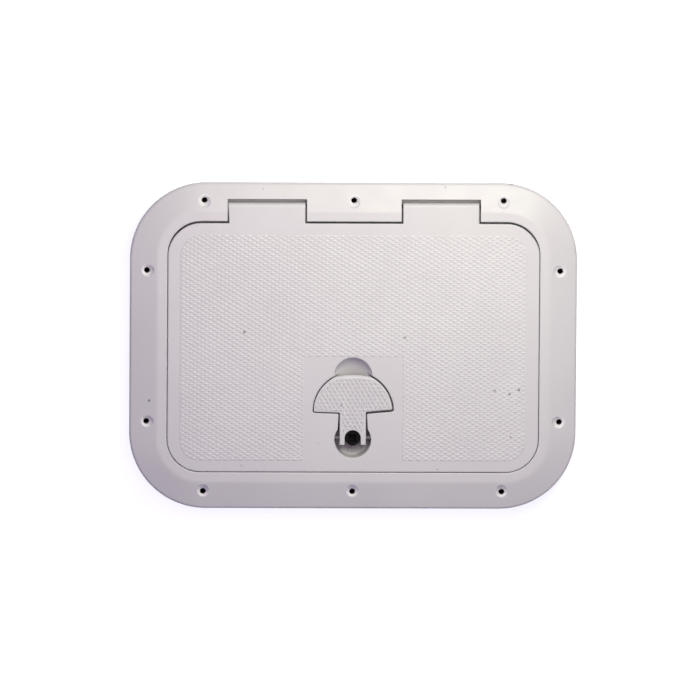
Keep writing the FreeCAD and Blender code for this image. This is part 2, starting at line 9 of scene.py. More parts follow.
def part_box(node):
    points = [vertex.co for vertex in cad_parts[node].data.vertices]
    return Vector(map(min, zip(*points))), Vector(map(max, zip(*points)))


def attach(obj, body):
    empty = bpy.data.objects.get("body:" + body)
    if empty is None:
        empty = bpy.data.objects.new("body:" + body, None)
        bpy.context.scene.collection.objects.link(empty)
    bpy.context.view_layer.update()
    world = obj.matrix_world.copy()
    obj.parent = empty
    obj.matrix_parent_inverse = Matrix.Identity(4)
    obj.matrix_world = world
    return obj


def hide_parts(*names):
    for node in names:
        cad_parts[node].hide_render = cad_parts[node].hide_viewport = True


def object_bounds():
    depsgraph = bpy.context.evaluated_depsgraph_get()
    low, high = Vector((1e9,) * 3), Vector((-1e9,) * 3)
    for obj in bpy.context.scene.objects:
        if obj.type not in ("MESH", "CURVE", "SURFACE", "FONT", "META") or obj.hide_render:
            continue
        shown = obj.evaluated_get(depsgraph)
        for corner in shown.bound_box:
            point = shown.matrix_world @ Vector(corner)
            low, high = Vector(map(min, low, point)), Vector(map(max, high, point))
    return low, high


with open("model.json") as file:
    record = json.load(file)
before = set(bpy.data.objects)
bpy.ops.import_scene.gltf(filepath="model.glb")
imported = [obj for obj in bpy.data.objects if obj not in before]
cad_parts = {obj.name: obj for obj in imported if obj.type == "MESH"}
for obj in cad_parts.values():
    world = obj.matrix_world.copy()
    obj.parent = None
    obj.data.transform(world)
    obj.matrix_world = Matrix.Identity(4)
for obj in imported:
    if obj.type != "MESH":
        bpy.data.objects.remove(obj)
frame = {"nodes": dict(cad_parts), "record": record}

MM = 0.001
LID_BODY = "lid_body"
HANDLE_BODY = "handle_body"
HANDLE_PINS = ("handle_pin_left", "handle_pin_right")

cad_box = [list(corner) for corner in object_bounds()]
joints = {joint["name"]: joint["pos_m"] for joint in frame["record"]["behaviour"]["joints"]}
hinge = joints["lid_hinge"]
pivot = joints["handle_lift"]

# Camera: a long lens a few degrees off the vertical, tipped towards the hinges
CAMERA_DISTANCE = 12.0
CAMERA_TILT_X = math.radians(6.9)
CAMERA_TILT_Y = math.radians(2.0)
CAMERA_ROLL = math.radians(-0.175)
CAMERA_CLIP_END = 100.0
PIXELS_PER_METRE = 1191.9
IMAGE_PIXELS = 700
SENSOR_WIDTH = 36.0
ORIGIN_RIGHT_PX = 2.95
ORIGIN_DOWN_PX = -4.66

# Lights
LIGHT_SIZE = 0.36
KEY_PLACE = (0.15, 0.30, 0.60)
KEY_POWER = 3.45
KEY_COLOUR = (1.0, 0.995, 0.816)
FILL_PLACE = (-0.10, 0.10, 1.00)
FILL_POWER = 1.58
FILL_COLOUR = (1.0, 0.731, 0.937)
WORLD_COLOUR = (0.38, 0.31, 1.0)
WORLD_STRENGTH = 0.142

# Floor: pale, and painted dark as shade where the part covers it
FLOOR_SIZE = 8.0
FLOOR_PALE = (0.92, 0.92, 0.92)
FLOOR_PAINTED_SHADE = (0.01, 0.01, 0.01)
FLOOR_GLOW = 0.84
FLOOR_ROUGHNESS = 0.9
FLOOR_CORNER = 64.5 * MM
COVER_START = 4.5 * MM
COVER_END = 7.5 * MM

# Tread: rhombic studs in two crossing rows
TREAD_LONG = 6.50 * MM
TREAD_SHORT = 3.83 * MM
TREAD_HEIGHT = 0.22 * MM
HANDLE_TREAD_HEIGHT = 0.7 * MM
TREAD_TOP_SHARE = 0.30
TREAD_FOOT_SHARE = 0.94
TREAD_SINK = 0.08 * MM
CUTTER_BELOW = 1.0 * MM
CUTTER_ABOVE = 2.0 * MM

# Outline of the tread field on the lid, and of the plain pad round the handle
TAB_REACH = 18.0 * MM
FIELD_SIDE_BORDER = 9.9 * MM
FIELD_HINGE_BORDER = 10.5 * MM
FIELD_FREE_BORDER = 9.1 * MM
FIELD_CORNER = 17.0 * MM
FIELD_CORNER_STEPS = 10
PAD_HALF_WIDTH = 42.1 * MM
PAD_LENGTH = 96.9 * MM

# Outline of the tread on the handle
HEAD_RADIUS = 33.2 * MM
HEAD_Y = pivot[1] + 22.1 * MM
HEAD_STEPS = 12
STEM_HALF_WIDTH = 11.1 * MM
SHOULDER_LIFT = -0.45 * MM
SHOULDER_RISE = math.tan(math.radians(3.5))
FRONT_RADIUS = 75.0 * MM
FRONT_MARGIN = 2.6 * MM
FRONT_STEPS = 8
HANDLE_MARGIN = 1.7 * MM
FORK_RADIUS = 8.6 * MM
FORK_SPREAD = 1.2

# White plastic. Each noise here and below is its scale, detail and roughness.
WHITE = (0.792, 0.792, 0.792)
DUST = (0.965, 0.962, 0.968)
WHITE_ROUGHNESS = (0.36, 0.44)
PLASTIC_IOR = 1.5
NOISE_MIDDLE = (0.35, 0.65)
CLOUD = (14.0, 3.0, 0.5)
GRAIN = (2600.0, 2.0, 0.5)
GRAIN_DEPTH = 0.05 * MM
GRAIN_STRENGTH = 0.12
SMEAR = (55.0, 4.0, 0.6)
EDGE_ROUND = 0.8 * MM
NODE_SAMPLES = 6
# Painted shade in crevices: the colour it darkens to, how far occlusion is sought, and the occlusion over
# which it fades
CREVICE_SHADE_COLOUR = (0.198, 0.198, 0.198)
CREVICE_SHADE_REACH = 16.0 * MM
CREVICE_SHADE_OPENNESS = (0.12, 0.55)

# Black plastic, a grey of painted shade for the handle's pins, rubber and steel
BLACK = (0.004, 0.0035, 0.004)
BLACK_SPECULAR = 0.07
PIN_SHADE_GREY = (0.15, 0.147, 0.15)
GREY_SPECULAR = 0.3
BLACK_ROUGHNESS = (0.5, 0.68)
MOTTLE = (900.0, 3.0, 0.5)
MOTTLE_SHADES = (0.8, 1.4)
RUBBER_DARK = (0.018, 0.018, 0.018)
RUBBER_BLOOM = (0.045, 0.044, 0.043)
RUBBER_ROUGHNESS = 0.85
BLOOM = (240.0, 5.0, 0.65)
STEEL = (0.62, 0.61, 0.60)
STEEL_ROUGHNESS = (0.22, 0.42)
SCRATCH = (700.0, 4.0, 0.7)

# Countersinks: a painted highlight, paler than the flange, out to the edge of the sink
COUNTERSINK_HIGHLIGHT = (0.97, 0.97, 0.97)
COUNTERSINK_HIGHLIGHT_EDGE = (4.7 * MM, 5.3 * MM)

# Painted shade round the spindle pocket
SPINDLE_SHADE_PLACE = (0, pivot[1] - 0.3 * MM, -4.0 * MM)
SPINDLE_SHADE_STRETCH = 1.3
SPINDLE_SHADE_EDGE = (9.0 * MM, 20.0 * MM)
SPINDLE_SHADE_STRENGTH = 0.56

# Specks on the moulding and marks on its rim: x, y, z and radius in mm, and strength
# Dark colour of the specks and rim marks, also used for the painted shade round the spindle
SPECK_AND_SHADE = (0.05, 0.046, 0.046)
MARK_FLATTENING = 0.25
MARK_EDGE = (0.9, 2.0)
MARKS = (
    (-91.5, 12.1, 10.2, 0.80, 0.70),
    (43.1, 8.0, 10.2, 0.80, 0.50),
    (119.0, -36.8, 10.2, 0.80, 0.50),
    (131.4, -39.6, 10.2, 0.60, 0.80),
    (139.2, -36.2, 10.2, 0.75, 0.75),
    (132.5, -75.8, 10.2, 0.60, 0.50),
    (-171.0, -46.1, 7.5, 0.75, 0.70),
    (-9.9, -49.7, 10.3, 0.60, 0.50),
    (71.3, -103.5, 10.0, 0.60, 0.25),
    (-93.2, -100.6, 10.0, 0.60, 0.25),
    (76.4, 134.2, 7.0, 0.60, 0.35),
    (-76.4, 132.6, 7.0, 0.50, 0.30),
    (-28.7, -81.8, 10.0, 0.90, 0.10),
    (129.7, 137.0, 4.0, 0.40, 0.40),
    (131.0, 137.0, 4.0, 0.50, 0.55),
    (132.5, 137.0, 4.0, 0.50, 0.55),
    (133.7, 137.0, 4.0, 0.40, 0.40),
    (146.1, 133.6, 4.0, 0.40, 0.20),
    (147.8, 132.9, 4.0, 0.40, 0.25),
    (149.5, 132.1, 4.0, 0.40, 0.25),
    (151.1, 131.2, 4.0, 0.40, 0.25),
    (156.6, 128.5, 4.0, 0.40, 0.15),
    (158.1, 127.3, 4.0, 0.40, 0.25),
    (159.4, 126.3, 4.0, 0.40, 0.25),
    (178.4, 103.1, 4.0, 0.40, 0.15),
    (179.9, 102.7, 4.0, 0.40, 0.15),
    (185.5, 84.1, 4.0, 0.40, 0.15),
    (185.6, 82.4, 4.0, 0.45, 0.25),
    (185.6, 80.4, 4.0, 0.50, 0.35),
    (185.8, 78.2, 4.0, 0.40, 0.25),
)

# How the lid sits in the opening: thin gaps at its sides and free edge, a wider one at the hinges.
# A pair here or below is a stretch over which a shift grows or fades. A closing is left and right.
LID_CORNER = 27.0 * MM
LID_EDGE_SHIFT = 0.8 * MM
LID_HINGE_SHIFT = 0.3 * MM
HINGE_TURN = (0.0, 0.9)
EDGE_INNER = (-8.0 * MM, -2.5 * MM)
EDGE_OUTER = (0.3 * MM, 5.0 * MM)

# The side of the left tab that stands nearer its notch, and the ends of both tabs
LEFT_TAB_SHIFT = 0.8 * MM
LEFT_TAB_INNER = (100.0 * MM, 104.0 * MM)
LEFT_TAB_OUTER = (108.0 * MM, 115.0 * MM)
LEFT_TAB_ROOT = (104.5 * MM, 107.0 * MM)
TAB_END_SHIFT = 0.9 * MM
TAB_END_LENGTH = 4.0 * MM
KNUCKLE_SKIN = (2.5 * MM, 3.5 * MM)

# The handle's recess, and how much closer it is to the handle in the photo
RECESS_FLOOR = 3.5 * MM
RECESS_MARGIN = 0.5 * MM
RECESS_TOP = 10.5 * MM
RECESS_REACH = HEAD_RADIUS + 3 * MM
HEAD_CLOSING = (0.7 * MM, 0.15 * MM)
HEAD_WALL_INNER = (30.0 * MM, 33.0 * MM)
HEAD_WALL_OUTER = (34.8 * MM, 35.6 * MM)
HEAD_WALL_BELOW = 6.0 * MM
STEM_CLOSING = (0.55 * MM, 0.85 * MM)
STEM_WALL = 12.6 * MM
STEM_WALL_NEAR = 1.5 * MM
STEM_LENGTH = 13.0 * MM
SHOULDER_CLOSING = (0.6 * MM, -0.2 * MM)
SHOULDER_NEAR = 4.0 * MM

# The lower edge of the head: lower than drawn, and more so on the left
SHOULDER_DROP = 0.75 * MM
SHOULDER_SKEW = 0.031
SHOULDER_ABOVE = (-5.0 * MM, -1.5 * MM)
SHOULDER_BELOW = (3.0 * MM, 6.0 * MM)
SHOULDER_START = (10.2 * MM, 10.9 * MM)

# The spindle pocket, and the tighter corner at its floor
POCKET_Y = pivot[1] - 1.5 * MM
POCKET_RADIUS = 14.6 * MM
POCKET_FLOOR = -2.0 * MM
POCKET_CORNER = 6.0 * MM
POCKET_SKIN = 0.5 * MM
POCKET_NEW_CORNER = 2.5 * MM


def new_material(name):
    """A material, its node tree, its shader, and the socket of an object's own coordinates."""
    material = bpy.data.materials.new(name)
    material.use_nodes = True
    tree = material.node_tree
    place = tree.nodes.new("ShaderNodeTexCoord").outputs["Object"]
    return material, tree, tree.nodes["Principled BSDF"], place


def noise(tree, place, scale, detail, roughness):
    """The socket of a noise texture."""
    texture = tree.nodes.new("ShaderNodeTexNoise")
    texture.inputs["Scale"].default_value = scale
    texture.inputs["Detail"].default_value = detail
    texture.inputs["Roughness"].default_value = roughness
    tree.links.new(place, texture.inputs["Vector"])
    return texture.outputs["Fac"]


def ramp(tree, source, low, high, start, stop):
    """A socket that goes from low to high as the source goes from start to stop."""
    step = tree.nodes.new("ShaderNodeMapRange")
    step.inputs["From Min"].default_value = start
    step.inputs["From Max"].default_value = stop
    step.inputs["To Min"].default_value = low
    step.inputs["To Max"].default_value = high
    tree.links.new(source, step.inputs["Value"])
    return step.outputs["Result"]


def vector_step(tree, operation, source, value=None):
    """The socket of a vector operation on a source and a plain value."""
    step = tree.nodes.new("ShaderNodeVectorMath")
    step.operation = operation
    tree.links.new(source, step.inputs[0])
    if value is not None:
        step.inputs[1].default_value = value
    return step.outputs["Value" if operation in ("DISTANCE", "LENGTH") else "Vector"]


def number_step(tree, operation, first, second):
    """The socket of an operation on two number sockets."""
    step = tree.nodes.new("ShaderNodeMath")
    step.operation = operation
    tree.links.new(first, step.inputs[0])
    tree.links.new(second, step.inputs[1])
    return step.outputs["Value"]


def blend(tree, share, first, second):
    """The socket of a mix of two colours, each a colour or a socket."""
    mix = tree.nodes.new("ShaderNodeMix")
    mix.data_type = "RGBA"
    tree.links.new(share, mix.inputs["Factor"])
    for name, colour in (("A", first), ("B", second)):
        if isinstance(colour, tuple):
            mix.inputs[name].default_value = (*colour, 1)
        else:
            tree.links.new(colour, mix.inputs[name])
    return mix.outputs["Result"]


def specks_and_spindle_shade(tree, place):
    """A socket that is above 0 on the specks, the rim marks and the painted shade round the spindle."""
    flat = vector_step(tree, "MULTIPLY", place, (1, 1, MARK_FLATTENING))
    tall = vector_step(tree, "MULTIPLY", place, (1, 1, SPINDLE_SHADE_STRETCH))
    x, y, z = SPINDLE_SHADE_PLACE
    off_spindle = vector_step(tree, "DISTANCE", tall, (x, y, z * SPINDLE_SHADE_STRETCH))
    # Painted shade round the spindle pocket, strongest near the spindle
    strongest = ramp(tree, off_spindle, SPINDLE_SHADE_STRENGTH, 0.0, *SPINDLE_SHADE_EDGE)
    for x, y, z, radius, strength in MARKS:
        off_mark = vector_step(tree, "DISTANCE", flat, (x * MM, y * MM, z * MM * MARK_FLATTENING))
        edge = [share * radius * MM for share in MARK_EDGE]
        spot = ramp(tree, off_mark, strength, 0.0, *edge)
        strongest = number_step(tree, "MAXIMUM", strongest, spot)
    return strongest


def near_hole(tree, place):
    """A socket that is 1 in the countersinks and 0 away from them."""
    quarter = vector_step(tree, "MULTIPLY", vector_step(tree, "ABSOLUTE", place), (1, 1, 0))
    distances = []
    for mount in frame["record"]["mounts"]:
        if mount["kind"] == "bolt_pattern":
            x = mount["dims"].get("spacing_x_mm", 0.0) / 2
            y = mount["dims"]["spacing_y_mm"] / 2
            distances.append(vector_step(tree, "DISTANCE", quarter, (x * MM, y * MM, 0)))
    nearest = distances[0]
    for distance in distances[1:]:
        nearest = number_step(tree, "MINIMUM", nearest, distance)
    return ramp(tree, nearest, 1.0, 0.0, *COUNTERSINK_HIGHLIGHT_EDGE)


def white_plastic(name, edge_round):
    """Moulded white plastic: satin, with a fine grain and specks, a painted highlight in the
    countersinks, painted shade in crevices and painted shade round the spindle.
    """
    material, tree, shader, place = new_material(name)
    shader.inputs["IOR"].default_value = PLASTIC_IOR
    dusty = tuple(part * share for part, share in zip(WHITE, DUST))
    cloud = ramp(tree, noise(tree, place, *CLOUD), 0.0, 1.0, *NOISE_MIDDLE)
    colour = blend(tree, cloud, WHITE, dusty)
    # Painted highlight: the countersinks paler than the flange
    colour = blend(tree, near_hole(tree, place), colour, COUNTERSINK_HIGHLIGHT)
    # Painted shade: darker where ambient occlusion is low, in gaps, recesses, the spindle pocket and the
    # scoop
    occlusion = tree.nodes.new("ShaderNodeAmbientOcclusion")
    occlusion.samples = NODE_SAMPLES
    occlusion.inputs["Distance"].default_value = CREVICE_SHADE_REACH
    clear = ramp(tree, occlusion.outputs["AO"], 0.0, 1.0, *CREVICE_SHADE_OPENNESS)
    colour = blend(tree, clear, CREVICE_SHADE_COLOUR, colour)
    # Specks and rim marks, and painted shade round the spindle
    colour = blend(tree, specks_and_spindle_shade(tree, place), colour, SPECK_AND_SHADE)
    tree.links.new(colour, shader.inputs["Base Color"])
    smear = ramp(tree, noise(tree, place, *SMEAR), *WHITE_ROUGHNESS, *NOISE_MIDDLE)
    tree.links.new(smear, shader.inputs["Roughness"])
    bump = tree.nodes.new("ShaderNodeBump")
    bump.inputs["Strength"].default_value = GRAIN_STRENGTH
    bump.inputs["Distance"].default_value = GRAIN_DEPTH
    tree.links.new(noise(tree, place, *GRAIN), bump.inputs["Height"])
    if edge_round:
        rounding = tree.nodes.new("ShaderNodeBevel")
        rounding.samples = NODE_SAMPLES
        rounding.inputs["Radius"].default_value = edge_round
        tree.links.new(rounding.outputs["Normal"], bump.inputs["Normal"])
    tree.links.new(bump.outputs["Normal"], shader.inputs["Normal"])
    return material


def dark_plastic(name, shade, specular):
    """Glass-filled nylon: matt with a faint mottle."""
    material, tree, shader, place = new_material(name)
    shader.inputs["IOR"].default_value = PLASTIC_IOR
    shader.inputs["Specular IOR Level"].default_value = specular
    mottle = noise(tree, place, *MOTTLE)
    darker, paler = [tuple(part * share for part in shade) for share in MOTTLE_SHADES]
    tree.links.new(blend(tree, mottle, darker, paler), shader.inputs["Base Color"])
    rough = ramp(tree, mottle, *BLACK_ROUGHNESS, *NOISE_MIDDLE)
    tree.links.new(rough, shader.inputs["Roughness"])
    return material


def rubber():
    """Dull black rubber with a powdery bloom."""
    material, tree, shader, place = new_material("rubber")
    bloom = noise(tree, place, *BLOOM)
    tree.links.new(blend(tree, bloom, RUBBER_DARK, RUBBER_BLOOM), shader.inputs["Base Color"])
    shader.inputs["Roughness"].default_value = RUBBER_ROUGHNESS
    return material


def stainless():
    """Drawn stainless steel with fine scratches."""
    material, tree, shader, place = new_material("stainless")
    shader.inputs["Base Color"].default_value = (*STEEL, 1)
    shader.inputs["Metallic"].default_value = 1.0
    scratch = ramp(tree, noise(tree, place, *SCRATCH), *STEEL_ROUGHNESS, *NOISE_MIDDLE)
    tree.links.new(scratch, shader.inputs["Roughness"])
    return material


def placed(name, data):
    """A new object in the scene."""
    thing = bpy.data.objects.new(name, data)
    bpy.context.scene.collection.objects.link(thing)
    return thing


def eased(value, start, stop):
    """A smooth step from 0 at start to 1 at stop."""
    share = min(max((value - start) / (stop - start), 0.0), 1.0)
    return share * share * (3 - 2 * share)


def band(value, rise, fall):
    """A smooth step from 0 to 1 over one stretch, and back to 0 over another."""
    return eased(value, *rise) * (1 - eased(value, *fall))


def edge_shift(x, y, low, high):
    """How far a point of the lid near its outline moves, as x and y."""
    middle_y = (low[1] + high[1]) / 2
    past_x = abs(x) - (high[0] - LID_CORNER)
    past_y = abs(y - middle_y) - ((high[1] - low[1]) / 2 - LID_CORNER)
    over_x, over_y = max(past_x, 0.0), max(past_y, 0.0)
    depth = math.hypot(over_x, over_y) + min(max(past_x, past_y), 0.0) - LID_CORNER
    length = math.hypot(over_x, over_y) or 1.0
    out_x = math.copysign(over_x / length, x)
    out_y = math.copysign(over_y / length, y - middle_y)
    towards_hinge = eased(out_y, *HINGE_TURN)
    amount = LID_EDGE_SHIFT * (1 - towards_hinge) - LID_HINGE_SHIFT * towards_hinge
    amount *= band(depth, EDGE_INNER, EDGE_OUTER)
    return out_x * amount, out_y * amount


def tab_shift(x, y, z):
    """How far a point of the hinge tabs moves, as x and y."""
    left = band(-x, LEFT_TAB_INNER, LEFT_TAB_OUTER) * eased(y, *LEFT_TAB_ROOT)
    outer = eased(math.hypot(y - hinge[1], z - hinge[2]), *KNUCKLE_SKIN)
    outer *= eased(y, hinge[1], hinge[1] + TAB_END_LENGTH)
    return -LEFT_TAB_SHIFT * left, -TAB_END_SHIFT * outer


def pocket_place(x, y, z):
    """Where a point of the spindle pocket's corner goes, so that the corner is tighter."""
    radius = math.hypot(x, y - POCKET_Y)
    across = radius - (POCKET_RADIUS - POCKET_CORNER)
    down = POCKET_FLOOR + POCKET_CORNER - z
    if across < 0 or down < 0 or math.hypot(across, down) > POCKET_CORNER + POCKET_SKIN:
        return x, y, z
    share = POCKET_NEW_CORNER / POCKET_CORNER
    moved = (POCKET_RADIUS - POCKET_NEW_CORNER + across * share) / radius
    return x * moved, POCKET_Y + (y - POCKET_Y) * moved, POCKET_FLOOR + POCKET_NEW_CORNER - down * share


def shoulder_drop(x, y):
    """How far the lower edge of the head sits below the drawn one at a point."""
    near = band(HEAD_Y - y, SHOULDER_ABOVE, SHOULDER_BELOW) * eased(abs(x), *SHOULDER_START)
    return (SHOULDER_DROP - SHOULDER_SKEW * x) * near


def recess_place(x, y, z):
    """Where a point of the handle's recess goes: closer to the handle, and lower at the shoulders."""
    if z < RECESS_FLOOR - RECESS_MARGIN or z > RECESS_TOP or abs(x) > RECESS_REACH:
        return x, y
    side = 0 if x < 0 else 1
    radius = math.hypot(x, y - HEAD_Y)
    if HEAD_WALL_INNER[0] < radius < HEAD_WALL_OUTER[1] and y > HEAD_Y - HEAD_WALL_BELOW:
        share = 1 - band(radius, HEAD_WALL_INNER, HEAD_WALL_OUTER) * HEAD_CLOSING[side] / radius
        x, y = x * share, HEAD_Y + (y - HEAD_Y) * share
    elif abs(abs(x) - STEM_WALL) < STEM_WALL_NEAR and HEAD_Y - STEM_LENGTH < y < HEAD_Y:
        x -= math.copysign(STEM_CLOSING[side], x)
    if abs(x) > STEM_WALL - STEM_WALL_NEAR and abs(y - HEAD_Y) < SHOULDER_NEAR:
        y -= shoulder_drop(x, y) - SHOULDER_CLOSING[side]
    return x, y


def skewed_handle():
    """The handle with the lower edge of its head where the photo has it."""
    data = frame["nodes"]["handle"].data.copy()
    for vertex in data.vertices:
        vertex.co.y -= shoulder_drop(vertex.co.x, vertex.co.y)
    handle = placed("handle_moulding", data)
    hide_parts("handle")
    return handle


def seated_lid():
    """The lid as it sits in the photo: nearer the frame at its edges, further off at the hinges."""
    data = frame["nodes"]["lid"].data.copy()
    low, high = [list(corner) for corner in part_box("lid")]
    high[1] -= TAB_REACH
    for vertex in data.vertices:
        x, y, z = pocket_place(*vertex.co)
        x, y = recess_place(x, y, z)
        edge_x, edge_y = edge_shift(x, y, low, high)
        tab_x, tab_y = tab_shift(x, y, z)
        vertex.co = (x + edge_x + tab_x, y + edge_y + tab_y, z)
    lid = placed("lid_moulding", data)
    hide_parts("lid")
    return lid


def dress_nodes(materials):
    """Give every CAD node the material of its slot, and the handle's pins a grey of painted shade."""
    for row in frame["record"]["subparts"]:
        data = frame["nodes"][row["node"]].data
        data.materials.clear()
        data.materials.append(materials[row["material_slot"]])
    # Painted shade: the pins are grey to match the shade round them
    pin_shade_plastic = dark_plastic("worn_black_plastic", PIN_SHADE_GREY, GREY_SPECULAR)
    for name in HANDLE_PINS:
        frame["nodes"][name].data.materials[0] = pin_shade_plastic


def join_rings(mesh, lower, upper):
    """Faces between two rings of the same number of vertices."""
    count = len(lower)
    for index in range(count):
        following = (index + 1) % count
        mesh.faces.new((lower[index], lower[following], upper[following], upper[index]))


def stud(mesh, centre, base, height, turned):
    """Add one closed rhombic stud with sloping sides and a small flat top."""
    rings = []
    levels = ((base - TREAD_SINK, TREAD_FOOT_SHARE), (base, TREAD_FOOT_SHARE),
              (base + height, TREAD_TOP_SHARE))
    for level, share in levels:
        ring = []
        for along, across in ((1, 0), (0, 1), (-1, 0), (0, -1)):
            x = along * TREAD_LONG / 2 * share
            y = across * TREAD_SHORT / 2 * share
            if turned:
                x, y = -y, x
            ring.append(mesh.verts.new((centre[0] + x, centre[1] + y, level)))
        rings.append(ring)
    mesh.faces.new(reversed(rings[0]))
    for lower, upper in zip(rings, rings[1:]):
        join_rings(mesh, lower, upper)
    mesh.faces.new(rings[-1])


def lattice(low, high, pitch_x, pitch_y):
    """Centres of the studs over a rectangle, in two crossing rows."""
    middle = ((low[0] + high[0]) / 2, (low[1] + high[1]) / 2)
    reach_x = int((high[0] - low[0]) / pitch_x) + 2
    reach_y = int((high[1] - low[1]) / pitch_y) + 2
    centres = []
    for row in range(-reach_y, reach_y + 1):
        for column in range(-reach_x, reach_x + 1):
            if (row + column) % 2 == 0:
                centres.append((middle[0] + column * pitch_x / 2, middle[1] + row * pitch_y / 2))
    return centres


def mesh_data(name, mesh):
    """The data of a finished mesh, which is freed."""
    data = bpy.data.meshes.new(name)
    mesh.to_mesh(data)
    mesh.free()
    return data


def prism(name, points, bottom, top):
    """A closed prism over a polygon, as a mesh object."""
    mesh = bmesh.new()
    lower = [mesh.verts.new((x, y, bottom)) for x, y in points]
    upper = [mesh.verts.new((x, y, top)) for x, y in points]
    mesh.faces.new(reversed(lower))
    mesh.faces.new(upper)
    join_rings(mesh, lower, upper)
    bmesh.ops.recalc_face_normals(mesh, faces=mesh.faces)
    return placed(name, mesh_data(name, mesh))


def arc_points(centre, radius, start, stop, steps):
    """Points along an arc, angles in degrees."""
    points = []
    for step in range(steps + 1):
        angle = math.radians(start + (stop - start) * step / steps)
        points.append((centre[0] + radius * math.cos(angle), centre[1] + radius * math.sin(angle)))
    return points


def inside(point, polygon):
    """Whether a point lies in a polygon."""
    x, y = point
    found = False
    for (x1, y1), (x2, y2) in zip(polygon, polygon[1:] + polygon[:1]):
        if (y1 > y) != (y2 > y) and x < x1 + (y - y1) * (x2 - x1) / (y2 - y1):
            found = not found
    return found


def tread(name, polygon, base, height, turned):
    """Studs over a polygon: whole ones inside it, and cut ones along its edge."""
    xs = [point[0] for point in polygon]
    ys = [point[1] for point in polygon]
    pitch_x, pitch_y = (TREAD_SHORT, TREAD_LONG) if turned else (TREAD_LONG, TREAD_SHORT)
    whole = bmesh.new()
    cut = bmesh.new()
    for x, y in lattice((min(xs), min(ys)), (max(xs), max(ys)), pitch_x, pitch_y):
        corners = [(x + pitch_x / 2, y), (x - pitch_x / 2, y), (x, y + pitch_y / 2), (x, y - pitch_y / 2)]
        hits = sum(inside(corner, polygon) for corner in corners)
        if hits == len(corners):
            stud(whole, (x, y), base, height, turned)
        elif hits or inside((x, y), polygon):
            stud(cut, (x, y), base, height, turned)
    edge = placed(name + "_edge", mesh_data(name + "_edge", cut))
    cutter = prism(name + "_cutter", polygon, base - CUTTER_BELOW, base + CUTTER_ABOVE)
    modifier = edge.modifiers.new("trim", "BOOLEAN")
    modifier.operation = "INTERSECT"
    modifier.solver = "EXACT"
    modifier.object = cutter
    whole.from_mesh(edge.evaluated_get(bpy.context.evaluated_depsgraph_get()).to_mesh())
    for thing in (edge, cutter):
        bpy.data.objects.remove(thing)
    return placed(name, mesh_data(name, whole))


def lid_field_polygon():
    """Outline of the tread field: round corners, open round the handle."""
    low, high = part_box("lid")
    y_low = low[1] + FIELD_FREE_BORDER
    right = high[0] - FIELD_SIDE_BORDER - FIELD_CORNER
    front = y_low + FIELD_CORNER
    back = high[1] - TAB_REACH - FIELD_HINGE_BORDER - FIELD_CORNER
    pad_top = low[1] + PAD_LENGTH
    pad = [(-PAD_HALF_WIDTH, y_low), (-PAD_HALF_WIDTH, pad_top),
           (PAD_HALF_WIDTH, pad_top), (PAD_HALF_WIDTH, y_low)]
    points = []
    for quarter, centre in enumerate(((right, back), (-right, back), (-right, front), (right, front))):
        if quarter == 3:
            points += pad
        points += arc_points(centre, FIELD_CORNER, 90 * quarter, 90 * quarter + 90, FIELD_CORNER_STEPS)
    return points


def handle_field_polygon():
    """Outline of the tread on the handle: its head and stem with a plain margin."""
    radius = HEAD_RADIUS - HANDLE_MARGIN
    half = STEM_HALF_WIDTH - HANDLE_MARGIN
    neck_y = HEAD_Y + SHOULDER_LIFT + HANDLE_MARGIN
    tip_x = radius * math.cos(math.asin((neck_y - HEAD_Y) / radius))
    tip_y = neck_y + SHOULDER_RISE * (tip_x - half)
    start = math.degrees(math.asin((tip_y - HEAD_Y) / radius))
    front_centre_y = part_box("handle")[1][1] - FRONT_MARGIN - FRONT_RADIUS
    gap = front_centre_y - HEAD_Y
    meet_y = (FRONT_RADIUS ** 2 - radius ** 2 - gap ** 2) / (-2 * gap)
    meet_x = math.sqrt(radius ** 2 - meet_y ** 2)
    stop = math.degrees(math.atan2(meet_y, meet_x))
    turn = math.degrees(math.atan2(meet_x, meet_y - gap))
    fork = math.degrees(math.asin(half / FORK_RADIUS / FORK_SPREAD))
    points = [(half, neck_y)]
    points += arc_points((0, HEAD_Y), radius, start, stop, HEAD_STEPS)
    points += arc_points((0, front_centre_y), FRONT_RADIUS, 90 - turn, 90 + turn, FRONT_STEPS)
    points += arc_points((0, HEAD_Y), radius, 180 - stop, 180 - start, HEAD_STEPS)
    points += [(-half, neck_y)]
    points += arc_points((0, pivot[1]), FORK_RADIUS, 90 + fork, 90 - fork, FRONT_STEPS)
    return points


def make_camera():
    """A long lens whose middle is a few pixels off the origin."""
    turn = (Matrix.Rotation(CAMERA_ROLL, 3, "Z") @ Matrix.Rotation(CAMERA_TILT_Y, 3, "Y")
            @ Matrix.Rotation(CAMERA_TILT_X, 3, "X"))
    axes = turn.transposed()
    right, up, back = axes.col
    place = back * CAMERA_DISTANCE
    place -= right * (ORIGIN_RIGHT_PX / PIXELS_PER_METRE)
    place += up * (ORIGIN_DOWN_PX / PIXELS_PER_METRE)
    data = bpy.data.cameras.new("camera")
    data.sensor_width = SENSOR_WIDTH
    data.lens = PIXELS_PER_METRE * CAMERA_DISTANCE * SENSOR_WIDTH / IMAGE_PIXELS
    data.clip_end = CAMERA_CLIP_END
    camera = placed("camera", data)
    camera.matrix_world = Matrix.Translation(place) @ axes.to_4x4()
    bpy.context.scene.camera = camera


def make_light(name, place, power, colour):
    """A square light that faces the origin."""
    data = bpy.data.lights.new(name, "AREA")
    data.shape = "SQUARE"
    data.size = LIGHT_SIZE
    data.energy = power
    data.color = colour
    light = placed(name, data)
    light.location = place
    light.rotation_euler = Vector(place).to_track_quat("Z", "Y").to_euler()


